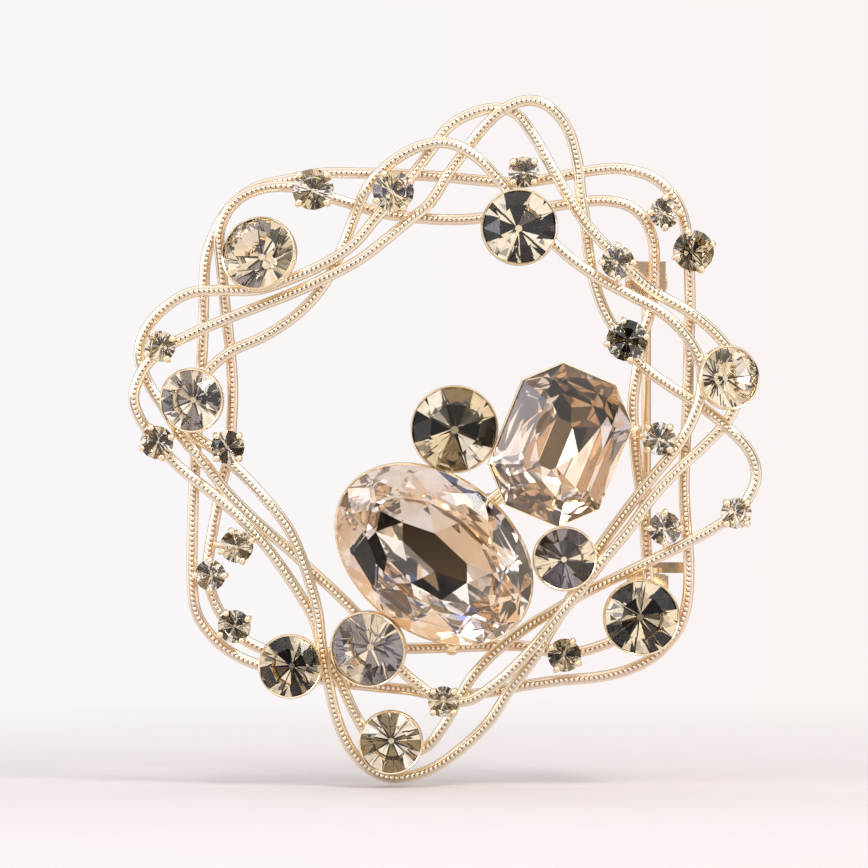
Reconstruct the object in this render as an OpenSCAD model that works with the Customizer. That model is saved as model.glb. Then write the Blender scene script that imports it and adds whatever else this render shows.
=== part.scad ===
// Openwork wreath brooch: five milgrain wires woven into two rounded squares, thirty
// crystals in soldered settings, and a joint, pin stem and turning safety catch behind.
//
// The wreath is drawn lying in a face frame: x to the right, y up, z towards the person
// who looks at it. as_worn() then stands it up: z becomes -Y (the face looks along -Y)
// and y becomes +Z. The origin is the middle of the pin stem.

/* [Overall] */
// Width of the wire wreath
wreath_width = 52.7; // [44:0.1:66]
// Height of the wire wreath
wreath_height = 57.2; // [48:0.1:70]
// Height of the back wires' centre line above the pin stem's axis
back_standoff = 4.6; // [4.2:0.1:8]

/* [Wires] */
// Diameter of every wire
wire_d = 0.95; // [0.7:0.05:1.15]
// How far two wires that cross sink into each other at the solder joint
solder_sink = 0.05; // [0.02:0.01:0.1]
// Rings swept between two neighbouring control points
rings_per_span = 2; // [1:1:3]

/* [Round crystals] */
// Diameter of the round crystal between the oval and the octagon
centre_d = 7; // [5.5:0.1:7.1]
// Diameter of the large round crystals
large_d = 6.1; // [5:0.1:6.6]
// Diameter of the medium round crystals
medium_d = 5.1; // [4.2:0.1:5.6]
// Diameter of the crystals in large claw settings
claw_large_d = 3.6; // [3:0.1:3.9]
// Diameter of the crystals in medium claw settings
claw_medium_d = 2.9; // [2.4:0.1:3.1]
// Diameter of the crystals in small claw settings
claw_small_d = 2.7; // [2.2:0.1:2.9]

/* [Oval and octagon crystals] */
// Length of the oval crystal
oval_length = 18; // [15:0.1:18.4]
// Width of the oval crystal
oval_width = 13; // [11:0.1:13.3]
// Length of the octagon crystal
octagon_length = 12.6; // [10:0.1:13]
// Width of the octagon crystal
octagon_width = 10; // [8:0.1:10.2]
// Depth of the oval crystal behind its girdle
oval_depth = 3.9; // [3:0.1:4.5]
// Depth of the octagon crystal behind its girdle
octagon_depth = 4.2; // [3:0.1:4.8]

/* [Settings] */
// Metal thickness of the cups that hold the crystals
cup_wall = 0.16; // [0.1:0.02:0.24]
// Thickness of a cup's floor
cup_floor = 0.25; // [0.2:0.05:0.4]
// How far a setting's floor sinks into the solder on the wires
seat_sink = 0.12; // [0.1:0.01:0.2]
// Diameter of a claw
claw_d = 0.42; // [0.3:0.02:0.5]
// Diameter of the bars behind the three centre crystals
bar_d = 1.1; // [0.8:0.1:1.4]

/* [Pin and catch] */
// Diameter of the pin stem
stem_d = 0.8; // [0.6:0.05:0.9]
// Distance from the joint's rivet to the middle of the catch
pin_reach = 26; // [22:0.5:28]
// Diameter of the rivet that the stem turns on
rivet_d = 0.8; // [0.6:0.05:1]
// Radial clearance of the parts that turn
running_clearance = 0.05; // [0.02:0.01:0.08]
// Gap between parts that slide past each other side by side
side_gap = 0.12; // [0.08:0.01:0.2]
// Thickness of the joint's ears and foot
joint_sheet = 0.7; // [0.5:0.05:0.9]
// Width of the stem's rolled eye
eye_width = 1.3; // [1:0.1:1.8]
// Bore of the catch's turning sleeve
sleeve_bore = 1.2; // [1.1:0.05:1.5]
// Wall of the catch's turning sleeve
sleeve_wall = 0.45; // [0.35:0.05:0.6]
// Length of the catch's housing along the stem
housing_length = 2.4; // [1.8:0.1:3]

/* [Hidden] */
$fn = 48;
kx = wreath_width / 52.7;
ky = wreath_height / 57.2;
layer = wire_d - solder_sink;
back_z = back_standoff;
front_z = back_z + layer;
stem_x = 17 * kx;
pin_mid_y = 0.4 * ky;
catch_y = pin_mid_y - pin_reach / 2;
rivet_y = pin_mid_y + pin_reach / 2;
neck_length = 2.4;
taper_length = 2.8;
point_length = 1;
back_face_z = back_z - wire_d / 2;

// Control points of each closed wire: x, y and how many layers it is lifted.
// The outer back wire is the plain rounded square that lies lowest.
back_outer = [
    [-19.5, 17.2, 0], [-18.6, 18.9, 0], [-17.3, 20.3, 0], [-15.7, 21.3, 0], [-13, 21.9, 0],
    [-10.3, 22.4, 0], [-7, 22.4, 0], [-3.8, 22.3, 0], [-0.3, 22.1, 0], [2.8, 21.8, 0],
    [5.8, 21.6, 0], [8.5, 21.9, 0], [11.5, 22.5, 0], [14.2, 22.8, 0], [16.5, 22.4, 0],
    [18, 21.6, 0], [19.4, 20, 0], [20.1, 18, 0], [20.4, 15, 0], [20.5, 11.5, 0],
    [20.4, 7.5, 0], [20.3, 3.3, 0], [20.1, -0.8, 0], [20, -4.2, 0], [20.2, -7.5, 0],
    [20.4, -10.4, 0], [20.3, -13.1, 0], [19.8, -15.3, 0], [18.8, -16.9, 0], [17.3, -18.3, 0],
    [15.3, -19.3, 0], [12.8, -19.9, 0], [9.5, -20.2, 0], [6.7, -20.6, 0], [2.8, -21.3, 0],
    [-0.2, -21.5, 0], [-3, -21, 0], [-6, -20.7, 0], [-9.3, -20.3, 0], [-12.6, -19.6, 0],
    [-15.7, -18.9, 0], [-18.1, -17.8, 0], [-19.9, -16.2, 0], [-21, -14.3, 0], [-21.3, -11.8, 0],
    [-21.3, -8.5, 0], [-21.2, -5, 0], [-21, -1, 0], [-20.7, 3.5, 0], [-20.4, 8.5, 0],
    [-20.3, 13.2, 0], [-20.1, 15.4, 0]
];
// The inner back wire, which climbs over the outer one at the top left corner.
back_inner = [
    [-19, 17.1, 1], [-18.4, 19, 1], [-17.2, 20.3, 1], [-15.3, 21.1, 1], [-13, 21.2, 1],
    [-10.6, 20.6, 0.5], [-7.6, 19.7, 0], [-5.1, 19, 0], [-1.9, 18.6, 0], [1.2, 18.5, 0],
    [4, 18.8, 0], [7, 19.3, 0], [10.2, 19.8, 0], [13, 20.1, 0], [15.2, 19.7, 0],
    [16.6, 18.6, 0], [17.4, 16.7, 0], [17.5, 14.2, 0], [17.3, 11.3, 0], [16.5, 8.6, 0],
    [16, 5.5, 0], [15.7, 2.9, 0], [15.8, 0.5, 0], [16.1, -2.7, 0], [16.6, -5.8, 0],
    [16.8, -8.8, 0], [17, -11.8, 0], [16.8, -13.8, 0], [16.1, -15.4, 0], [15, -16.4, 0],
    [13.2, -17.2, 0], [11.1, -17.8, 0], [8.9, -17.8, 0], [6.4, -17.3, 0], [3.5, -17.3, 0],
    [0.5, -17.4, 0], [-3, -17.5, 0], [-6, -17.4, 0], [-9, -17.7, 0], [-12, -18.2, 0],
    [-14.6, -17.8, 0], [-16.7, -16.9, 0], [-18.3, -15.4, 0], [-19.4, -13.6, 0], [-20, -11.3, 0],
    [-19.8, -9, 0], [-19.4, -6.7, 0], [-18.8, -3.6, 0], [-18.2, -1.2, 0], [-18, 1.3, 0],
    [-17.9, 4.2, 0], [-18.1, 7.4, 0], [-18.5, 11, 0.1], [-18.8, 14.2, 0.6]
];
// The front wire that arches over the top.
front_arch = [
    [0.3, 24.8, 1], [-2, 24.6, 1], [-4.3, 23.4, 1], [-6.4, 21.4, 0.6], [-7.6, 18.9, 0],
    [-8.8, 15.8, 0], [-10.3, 12.9, 0], [-12.4, 10.6, 0], [-15, 8.8, 0], [-18.2, 7.3, 0],
    [-20.3, 5.3, 0], [-21.4, 2.7, 0], [-21.2, 0.6, 0], [-19.4, -0.8, 0.3], [-17.2, -2.7, 0.6],
    [-15.2, -4.8, 1], [-13.3, -7.2, 1], [-12.2, -9.5, 1], [-11.3, -12.2, 1], [-10.7, -14.6, 1],
    [-10.4, -17.2, 1], [-9.8, -20.5, 1], [-9.1, -23.4, 0.6], [-7.9, -26, 0.3], [-6.2, -27.7, 0],
    [-4.2, -28.3, 0], [-1.5, -27.7, 0], [1.1, -26, 0], [3.6, -23.6, 0], [5.3, -21, 0.3],
    [7.2, -18.5, 0.8], [8.9, -15.7, 1], [10.7, -12.7, 1], [12.7, -9.2, 1], [15, -6, 1],
    [17.2, -3.2, 1], [19.3, -0.6, 1], [20.7, 1.9, 1], [21.4, 4.4, 1], [21.2, 6.7, 1],
    [20, 8.8, 1], [18, 10.7, 1], [15.6, 12, 1], [13, 13.4, 1], [10.4, 15.2, 1],
    [8.4, 17.1, 0.8], [6.4, 19.4, 0.6], [4.4, 21.8, 0.8], [2.5, 23.7, 1]
];
// The front wire that swings out to the left and back to the right corner.
front_swing = [
    [4.2, 27.8, 0], [2, 27.3, 0], [0.2, 26.2, 0], [-1.1, 24.5, 0], [-2.5, 22.6, 0.3],
    [-4.2, 20.4, 0.7], [-5.9, 18.5, 1], [-7.6, 16.5, 1], [-9.7, 15, 1], [-12.4, 13.7, 1],
    [-15.6, 12.6, 1], [-18.7, 12.5, 1], [-21.4, 12.3, 1], [-23.6, 11, 0.7], [-25.1, 9.3, 0.2],
    [-25.7, 7.2, 0], [-25, 4.9, 0], [-23.5, 2.5, 0.4], [-21.9, 0, 0.8], [-20, -2.2, 0.8],
    [-18.2, -4.5, 0.5], [-15.9, -6.8, 0.2], [-13.4, -9, 0], [-11.2, -11, 0], [-8.8, -13.2, 0.2],
    [-6.8, -15.3, 0.5], [-5, -17.9, 0.8], [-2.8, -20.1, 1], [-0.5, -21.6, 1], [1.8, -21.8, 1],
    [4, -20.5, 1.2], [6, -18.7, 1.6], [7.8, -16.7, 2], [9.6, -14.5, 2], [11.3, -12.4, 2],
    [13.3, -9.8, 2], [15.3, -7.4, 1.8], [17.4, -4.6, 1.4], [19.5, -2.4, 0.9], [21.7, -0.4, 0.3],
    [23.7, 1.8, 0], [24.6, 4.2, 0], [24.1, 6.8, 0], [22.6, 8.9, 0], [20.4, 10.7, 0.2],
    [17.8, 12.2, 0.4], [15.7, 13.9, 0.7], [13.5, 16.1, 1], [11.7, 18.1, 1], [10.2, 20.4, 0.8],
    [8.7, 23.1, 0.4], [7.2, 25.7, 0], [5.9, 27.3, 0]
];
// The front wire that makes the peak and both side points.
front_peak = [
    [6.9, 28.4, 1], [4.9, 27.7, 1], [3.2, 26.2, 0.7], [1.6, 24.2, 0], [0.2, 22.3, 0],
    [-1.3, 19.9, 0.2], [-3.2, 18.3, 0.6], [-5.1, 16.7, 0.9], [-7.2, 15.1, 1], [-9.6, 13.8, 1],
    [-12.3, 12.5, 1], [-15.3, 11.3, 1], [-18.4, 10.1, 1], [-21.4, 8.8, 1], [-23.6, 7.6, 1],
    [-25.3, 5.9, 1], [-26.1, 3.7, 1], [-25.6, 1.8, 0.8], [-24.1, -0.3, 0.6], [-22.3, -2.3, 0.6],
    [-19.9, -4.2, 0.6], [-17.9, -5.9, 0.5], [-15.9, -7.9, 0.4], [-14.1, -10.2, 0.2],
    [-12.4, -12.7, 0], [-11, -15.2, 0], [-10.3, -17.7, 0], [-8.9, -20.2, 0], [-7.7, -22.8, 0],
    [-6.3, -25, 0], [-4.2, -26.2, 0], [-1.8, -25.8, 0], [-0.3, -24.1, 0], [0.8, -22.2, 0],
    [2.1, -20, 0], [4, -17.9, 0], [6.5, -15.9, 0], [8.9, -14.4, 0], [11.5, -12.9, 0],
    [13.9, -11.7, 0], [17, -10.2, 0.2], [20, -8.7, 0.4], [22.4, -7.4, 0.6], [24.6, -5.8, 0.8],
    [25.9, -3.4, 1], [25.5, -1.2, 1], [23.8, 0.8, 1], [21.4, 2.8, 0], [18.6, 4.6, 0],
    [16.5, 6.2, 0], [14.9, 8.2, 0], [13.5, 10.4, 0], [12.6, 12.7, 0], [12, 15.4, 0],
    [11.7, 18.2, 0], [11.3, 20.8, 0], [11, 23.4, 0.2], [10.2, 26, 0.6], [8.7, 27.8, 1]
];

// Cup-set round crystals: name, x, y, diameter, base height above the back wires' centre
// in layers, the way its face leans (degrees from +x) and by how much.
CUPS = [
    ["upper_left", -15.6, 15.5, large_d, 1.6, 135, 22],
    ["upper_middle", 6.1, 17.7, large_d, 2.4, 60, 5],
    ["left", -21.2, 3.3, medium_d, 1.6, 200, 8],
    ["right", 23.6, 5.2, medium_d, 1.6, 10, 22],
    ["lower_right", 16.3, -14.8, large_d, 0.6, 0, 3],
    ["inner_right", 9.9, -9.9, medium_d, 1.3, 60, 6],
    ["bottom", -4.6, -25.2, medium_d, 1.6, 250, 6],
    ["inner_left", -6.5, -17.4, large_d, 2.1, 215, 14],
    ["lower_left", -13, -18.9, medium_d, 0.6, 190, 6]
];
// Claw-set round crystals: name, x, y, size class (0 large, 1 medium, 2 small), base
// height in layers, lean direction, lean, and the turn of its four claws.
CLAWS = [
    ["top_left", -11.1, 20.9, 0, 1.4, 100, 6, 45],
    ["top", -4.4, 20.7, 0, 2.2, 20, 8, 30],
    ["right_shoulder", 20.7, 15.8, 0, 0.6, 20, 14, 20],
    ["right_inside", 15.1, 8.3, 0, 1.6, 180, 4, 10],
    ["right_strand", 14.3, 14.8, 1, 2.4, 0, 5, 0],
    ["left_point", -24.1, -0.2, 1, 2.1, 200, 8, 20],
    ["left_inside", -18.2, -0.6, 1, 2.2, 0, 6, 45],
    ["right_cross", 17.8, 0.1, 1, 1.1, 150, 8, 45],
    ["right_lower_inside", 18.3, -7.4, 1, 0.6, 40, 6, 0],
    ["bottom_right", 9.9, -18, 1, 0.6, 0, 4, 60],
    ["lower_left_back", -17.7, -15.6, 1, 0.6, 230, 5, 30],
    ["left_lower_inside", -17.5, -8.9, 1, 0.6, 60, 8, 20],
    ["top_back", 6.5, 22.4, 2, 0.6, 90, 4, 45],
    ["top_right_back", 18.3, 19, 2, 0.6, 30, 8, 0],
    ["left_shoulder", -23.8, 7.8, 2, 2.6, 160, 6, 30],
    ["right_point", 24.2, -6.1, 2, 2.1, 330, 10, 45],
    ["bottom_cross", -0.2, -21.8, 2, 2.6, 270, 4, 45],
    ["left_lower_back", -19.7, -11.3, 2, 0.6, 200, 8, 0]
];
CLAW_D = [claw_large_d, claw_medium_d, claw_small_d];
CLAW_SET = ["claw_settings_large", "claw_settings_medium", "claw_settings_small"];
// Pegs from a claw setting's floor to the wire beside it: claw crystal index, x, y, layers.
PEGS = [
    [3, 16.5, 8.5, 0], [7, 16, 0.3, 0], [8, 16.8, -7.5, 0],
    [11, -19.7, -8.7, 0], [13, 19.7, 19.2, 0]
];

// The three centre crystals: x, y of the girdle's middle, turn of the long axis, lean.
centre_xy = [0.7, 0.9];
oval_xy = [-1, -9.5];
oval_turn = -38;
oval_lean = [240, 5];
octagon_xy = [9.5, -0.4];
octagon_turn = 67.5;
octagon_lean = [-10, 12];
oval_girdle_z = back_z + bar_d / 2 + cup_floor + oval_depth;
octagon_girdle_z = back_z + bar_d / 2 + cup_floor + octagon_depth + 0.3;
centre_girdle_z = back_z + bar_d / 2 + 4;

// Proportions of a round chaton, as shares of its diameter.
table_share = 0.3;
crown_share = 0.19;
girdle_share = 0.03;
pavilion_share = 0.4;
culet_share = 0.04;

// ---- frames -------------------------------------------------------------------------

module as_worn() {
    rotate([90, 0, 0]) translate([-stem_x, -pin_mid_y, 0]) children();
}

module leaning(pos, toward, lean) {
    translate(pos) rotate([0, 0, toward]) rotate([0, lean, 0]) rotate([0, 0, -toward]) children();
}

function unit(v) = v / norm(v);

// ---- wires --------------------------------------------------------------------------

function spread(p) = [p[0] * kx, p[1] * ky, back_z + p[2] * layer];

// Point at u (0 to 1) of the Catmull-Rom span from b to c.
function on_span(a, b, c, d, u) =
    0.5 * (2 * b + (c - a) * u + (2 * a - 5 * b + 4 * c - d) * u * u
           + (3 * b - a - 3 * c + d) * u * u * u);

function closed_path(pts) =
    let (n = len(pts))
    [for (i = [0:n - 1], k = [0:rings_per_span - 1])
        on_span(pts[(i + n - 1) % n], pts[i], pts[(i + 1) % n], pts[(i + 2) % n],
                k / rings_per_span)];

// One closed solid: eight-sided rings swept round a closed path.
module closed_wire(points, first_z) {
    lifted = [for (p = points) spread([p[0], p[1], p[2] + first_z])];
    path = closed_path(lifted);
    n = len(path);
    sides = 8;
    rings = [for (i = [0:n - 1])
        let (t = unit(path[(i + 1) % n] - path[(i + n - 1) % n]),
             across = unit(cross([0, 0, 1], t)),
             up = cross(t, across))
        [for (j = [0:sides - 1])
            path[i] + wire_d / 2 * (cos(j * 45 + 22.5) * across + sin(j * 45 + 22.5) * up)]];
    polyhedron(
        points = [for (r = rings) each r],
        faces = [for (i = [0:n - 1], j = [0:sides - 1])
            let (a = i * sides + j, b = i * sides + (j + 1) % sides,
                 c = ((i + 1) % n) * sides + (j + 1) % sides, d = ((i + 1) % n) * sides + j)
            each [[a, c, b], [a, d, c]]]
    );
}

module back_wire_outer() {
    color("#dcb48c") as_worn() closed_wire(back_outer, 0);
}

module back_wire_inner() {
    color("#dcb48c") as_worn() closed_wire(back_inner, 0);
}

module front_wire_arch() {
    color("#e6c8a0") as_worn() closed_wire(front_arch, 1);
}

module front_wire_swing() {
    color("#e6c8a0") as_worn() closed_wire(front_swing, 1);
}

module front_wire_peak() {
    color("#e6c8a0") as_worn() closed_wire(front_peak, 1);
}

// ---- round crystals and their settings ----------------------------------------------

// Depth of a setting's floor below the girdle of a crystal of diameter d.
function seat_depth(d) = pavilion_share * d + cup_floor;

module chaton(d) {
    rotate_extrude() polygon([
        [0, -pavilion_share * d], [culet_share * d, -pavilion_share * d], [d / 2, 0],
        [d / 2, girdle_share * d], [table_share * d, crown_share * d], [0, crown_share * d]
    ]);
}

module cup(d) {
    rotate_extrude() polygon([
        [0, -seat_depth(d)], [0.27 * d, -seat_depth(d)], [d / 2 + cup_wall, -0.1 * d],
        [d / 2 + cup_wall, girdle_share * d], [d / 2, girdle_share * d], [d / 2, 0],
        [culet_share * d, -pavilion_share * d], [0, -pavilion_share * d]
    ]);
}

// A low cup with four claws whose beads stand against the crown.
module claw_setting(d, turn) {
    rotate_extrude() polygon([
        [0, -seat_depth(d)], [0.27 * d, -seat_depth(d)], [0.42 * d + cup_wall, -0.12 * d],
        [0.42 * d, -0.064 * d], [culet_share * d, -pavilion_share * d], [0, -pavilion_share * d]
    ]);
    for (k = [0:3]) rotate([0, 0, turn + 90 * k]) {
        translate([d / 2 + claw_d / 2, 0, -0.3 * d]) cylinder(h = 0.3 * d + 0.2, d = claw_d);
        translate([0.32 * d, 0, -0.3 * d])
            rotate([0, 90, 0]) cylinder(h = 0.18 * d + claw_d / 2, d = claw_d * 0.9);
        translate([d / 2 + 0.16, 0, 0.3]) sphere(d = claw_d + 0.1);
    }
}

function seated(c, d) =
    [c[1] * kx, c[2] * ky, back_z + c[4] * layer - seat_sink + seat_depth(d)];
function cup_pos(c) = seated(c, c[3]);
function claw_pos(c) = seated(c, CLAW_D[c[3]]);

module cup_for(c) {
    color("#e0bd92") as_worn() leaning(cup_pos(c), c[5], c[6]) cup(c[3]);
}

module cup_crystal(c) {
    color("#5c5148") as_worn() leaning(cup_pos(c), c[5], c[6]) chaton(c[3]);
}

module claw_crystal(c) {
    color("#756858") as_worn() leaning(claw_pos(c), c[5], c[6]) chaton(CLAW_D[c[3]]);
}

module peg(from, to) {
    run = to - from;
    translate(from)
        rotate([0, acos(run[2] / norm(run)), atan2(run[1], run[0])])
            cylinder(h = norm(run), d = claw_d * 1.4);
}

module claw_settings(size_class) {
    color("#e0bd92") as_worn() {
        for (c = CLAWS) if (c[3] == size_class)
            leaning(claw_pos(c), c[5], c[6]) claw_setting(CLAW_D[size_class], c[7]);
        for (p = PEGS) if (CLAWS[p[0]][3] == size_class)
            peg(claw_pos(CLAWS[p[0]]) - [0, 0, seat_depth(CLAW_D[size_class]) - 0.1],
                spread([p[1], p[2], p[3]]));
    }
}

// ---- the three centre crystals ------------------------------------------------------

// Stacked rings of equal length, capped at both ends, as one solid.
module loft(rings) {
    n = len(rings);
    m = len(rings[0]);
    polyhedron(
        points = [for (r = rings) each r],
        faces = concat(
            [[for (j = [0:m - 1]) j]],
            [for (i = [0:n - 2], j = [0:m - 1])
                let (a = i * m + j, b = i * m + (j + 1) % m, c = b + m, d = a + m)
                each [[a, c, b], [a, d, c]]],
            [[for (j = [m - 1:-1:0]) (n - 1) * m + j]]
        )
    );
}

// The oval's outline drawn in by inset, at height z.
function oval_ring(inset, z) =
    [for (j = [0:23])
        [(oval_length / 2 - inset) * cos(15 * j), (oval_width / 2 - inset) * sin(15 * j), z]];

// The octagon's outline drawn in by inset, at height z. Its corners are cut by corner_cut.
corner_cut = 2.6;
function octagon_ring(inset, z) =
    let (l = octagon_length / 2 - inset, w = octagon_width / 2 - inset,
         c = max(0.3, corner_cut - inset * 0.586))
    [[l, w - c, z], [l - c, w, z], [c - l, w, z], [-l, w - c, z],
     [-l, c - w, z], [c - l, -w, z], [l - c, -w, z], [l, c - w, z]];

module oval_crystal() {
    color("#d9b9a2") as_worn() leaning([oval_xy[0] * kx, oval_xy[1] * ky, oval_girdle_z],
                                       oval_lean[0], oval_lean[1])
        rotate([0, 0, oval_turn])
            loft([oval_ring(5.2, -oval_depth), oval_ring(2.6, -oval_depth * 0.62),
                  oval_ring(0, 0), oval_ring(0, 0.4), oval_ring(1.1, 1.5), oval_ring(2.5, 2.2)]);
}

module oval_setting() {
    w = cup_wall;
    color("#e0bd92") as_worn() leaning([oval_xy[0] * kx, oval_xy[1] * ky, oval_girdle_z],
                                       oval_lean[0], oval_lean[1])
        rotate([0, 0, oval_turn])
            loft([oval_ring(5 - w, -oval_depth - cup_floor),
                  oval_ring(2.5 - 1.6 * w, -oval_depth * 0.62 - w),
                  oval_ring(-w, -0.2), oval_ring(-w, 0.3), oval_ring(0, 0.3), oval_ring(0, 0),
                  oval_ring(2.6, -oval_depth * 0.62), oval_ring(5.2, -oval_depth)]);
}

module octagon_crystal() {
    color("#dfb79c") as_worn()
        leaning([octagon_xy[0] * kx, octagon_xy[1] * ky, octagon_girdle_z],
                octagon_lean[0], octagon_lean[1])
            rotate([0, 0, octagon_turn])
                loft([octagon_ring(4.2, -octagon_depth), octagon_ring(2, -octagon_depth * 0.62),
                      octagon_ring(0, 0), octagon_ring(0, 0.4), octagon_ring(0.9, 1.5),
                      octagon_ring(1.9, 2.1)]);
}

module octagon_setting() {
    w = cup_wall;
    color("#e0bd92") as_worn()
        leaning([octagon_xy[0] * kx, octagon_xy[1] * ky, octagon_girdle_z],
                octagon_lean[0], octagon_lean[1])
            rotate([0, 0, octagon_turn])
                loft([octagon_ring(4 - w, -octagon_depth - cup_floor),
                      octagon_ring(2 - 1.6 * w, -octagon_depth * 0.62 - w),
                      octagon_ring(-w, -0.2), octagon_ring(-w, 0.3), octagon_ring(0, 0.3),
                      octagon_ring(0, 0), octagon_ring(2, -octagon_depth * 0.62),
                      octagon_ring(4.2, -octagon_depth)]);
}

module centre_cup() {
    color("#e0bd92") as_worn()
        leaning([centre_xy[0] * kx, centre_xy[1] * ky, centre_girdle_z], 100, 3) cup(centre_d);
}

module centre_crystal() {
    color("#5c5148") as_worn()
        leaning([centre_xy[0] * kx, centre_xy[1] * ky, centre_girdle_z], 100, 3) chaton(centre_d);
}

// A round bar between two points of the face frame.
module bar(a, b) {
    run = b - a;
    translate(a) rotate([0, acos(run[2] / norm(run)), atan2(run[1], run[0])])
        cylinder(h = norm(run), d = bar_d);
}

// A ball of solder, a little thicker than the bars that end in it.
module solder_ball(p) {
    translate(p) sphere(d = bar_d + 0.3);
}

// Bars that carry the three centre crystals from the inner back wire.
module centre_frame() {
    oval_mid = spread([oval_xy[0], oval_xy[1], 0]);
    octagon_mid = spread([octagon_xy[0], octagon_xy[1], 0]);
    centre_mid = spread([centre_xy[0], centre_xy[1], 0]);
    low_end = spread([0.5, -17.4, 0]);
    right_end = spread([15.8, 0.7, 0]);
    color("#e0bd92") as_worn() {
        bar(oval_mid, octagon_mid);
        bar(oval_mid, centre_mid);
        bar(oval_mid, low_end);
        bar(octagon_mid, right_end);
        for (p = [oval_mid, octagon_mid, centre_mid, low_end, right_end]) solder_ball(p);
        translate(centre_mid) cylinder(h = centre_girdle_z - back_z - seat_depth(centre_d) + 0.1,
                                       d = bar_d);
        translate(octagon_mid)
            cylinder(h = octagon_girdle_z - back_z - octagon_depth - cup_floor + 0.1, d = 2 * bar_d);
    }
}

// ---- pin and catch ------------------------------------------------------------------

ear_gap = eye_width + 2 * side_gap;
eye_d = rivet_d + 2 * running_clearance + 1;
ear_d = eye_d - 0.2;
foot_z = back_face_z - joint_sheet + solder_sink;

// Foot under the inner back wire, and two ears round the rivet.
module pin_joint() {
    color("#d8b48a") as_worn() translate([stem_x, rivet_y, 0]) difference() {
        union() {
            translate([-ear_gap / 2 - joint_sheet, -1.6, foot_z])
                cube([ear_gap + 2 * joint_sheet, 3.2, joint_sheet]);
            for (s = [-1, 1])
                translate([s * (ear_gap + joint_sheet) / 2, 0, 0]) {
                    rotate([0, 90, 0]) cylinder(h = joint_sheet, d = ear_d, center = true);
                    translate([-joint_sheet / 2, -ear_d / 2, 0])
                        cube([joint_sheet, ear_d, foot_z + joint_sheet / 2]);
                }
        }
        rotate([0, 90, 0]) cylinder(h = 10, d = rivet_d, center = true);
    }
}

module joint_rivet() {
    half = ear_gap / 2 + joint_sheet;
    color("#d8b48a") as_worn() translate([stem_x, rivet_y, 0]) rotate([0, 90, 0]) {
        cylinder(h = 2 * half, d = rivet_d, center = true);
        for (s = [-1, 1]) translate([0, 0, s * (half + 0.15)])
            cylinder(h = 0.3, d = rivet_d + 0.5, center = true);
    }
}

// Rolled eye, tapering neck, plain stem, tapered end and ground point. The plain stretch is
// as long below the origin as above it and stops short of the catch.
module pin_stem() {
    plain = pin_reach - 2 * neck_length;
    color("#e8d2b0") as_worn() translate([stem_x, rivet_y, 0]) difference() {
        union() {
            rotate([0, 90, 0]) cylinder(h = eye_width, d = eye_d, center = true);
            rotate([90, 0, 0]) cylinder(h = neck_length, d1 = stem_d + 0.5, d2 = stem_d);
            rotate([90, 0, 0]) cylinder(h = neck_length + plain, d = stem_d);
            translate([0, -neck_length - plain, 0]) rotate([90, 0, 0]) {
                cylinder(h = taper_length, d1 = stem_d, d2 = 0.7 * stem_d);
                translate([0, 0, taper_length])
                    cylinder(h = point_length, d1 = 0.7 * stem_d, d2 = 0.1);
            }
        }
        rotate([0, 90, 0])
            cylinder(h = 2 * eye_width, d = rivet_d + 2 * running_clearance, center = true);
    }
}

sleeve_d = sleeve_bore + 2 * sleeve_wall;
housing_bore = sleeve_d + 2 * running_clearance;
housing_d = housing_bore + 1.1;
slot = stem_d + 0.2;

// Foot under the back wire and a ring that is open towards the back.
module catch_housing() {
    color("#d8b48a") as_worn() translate([stem_x, catch_y, 0]) difference() {
        union() {
            rotate([90, 0, 0]) cylinder(h = housing_length, d = housing_d, center = true);
            translate([-0.9, -housing_length / 2, 0])
                cube([1.8, housing_length, back_face_z + solder_sink]);
            translate([-1.7, -housing_length / 2, foot_z])
                cube([3.4, housing_length, joint_sheet]);
        }
        rotate([90, 0, 0]) cylinder(h = 10, d = housing_bore, center = true);
        translate([-slot / 2, -5, -5]) cube([slot, 10, 5]);
    }
}

// Slotted sleeve that turns in the housing, kept by a rim at each end, with a thumb tab.
module catch_sleeve() {
    rim = 0.45;
    half = housing_length / 2 + side_gap;
    color("#e8d2b0") as_worn() translate([stem_x, catch_y, 0]) difference() {
        union() {
            rotate([90, 0, 0]) cylinder(h = 2 * (half + rim), d = sleeve_d, center = true);
            for (s = [-1, 1]) translate([0, s * (half + rim / 2), 0])
                rotate([90, 0, 0]) cylinder(h = rim, d = housing_bore + 0.5, center = true);
            translate([0, half, -0.35]) cube([3.3, 0.9, 0.7]);
        }
        rotate([90, 0, 0]) cylinder(h = 10, d = sleeve_bore, center = true);
        translate([-slot / 2, -5, -5]) cube([slot, 10, 5]);
    }
}

// ---- nodes --------------------------------------------------------------------------

back_wire_outer();
back_wire_inner();
front_wire_arch();
front_wire_swing();
front_wire_peak();
centre_frame();
oval_setting();
oval_crystal();
octagon_setting();
octagon_crystal();
centre_cup();
centre_crystal();
for (c = CUPS) cup_for(c);
for (c = CUPS) cup_crystal(c);
for (i = [0:2]) claw_settings(i);
for (c = CLAWS) claw_crystal(c);
pin_joint();
joint_rivet();
pin_stem();
catch_housing();
catch_sleeve();
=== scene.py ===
# %% [markdown]
# # A wreath brooch of beaded gold wire and smoky crystals
# Five closed wires are woven into an openwork wreath. Round crystals in cups and claws are
# soldered along it, and a round, an oval and an octagon crystal sit inside it. A pin stem and
# a turning catch are fixed behind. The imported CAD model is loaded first: it says where every
# piece lies, in metres, with the face of the brooch looking along -Y and Z up.

# %% Load the CAD frame
import math
import random

import bmesh
import bpy
import numpy as np
from mathutils import Matrix, Vector


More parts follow.
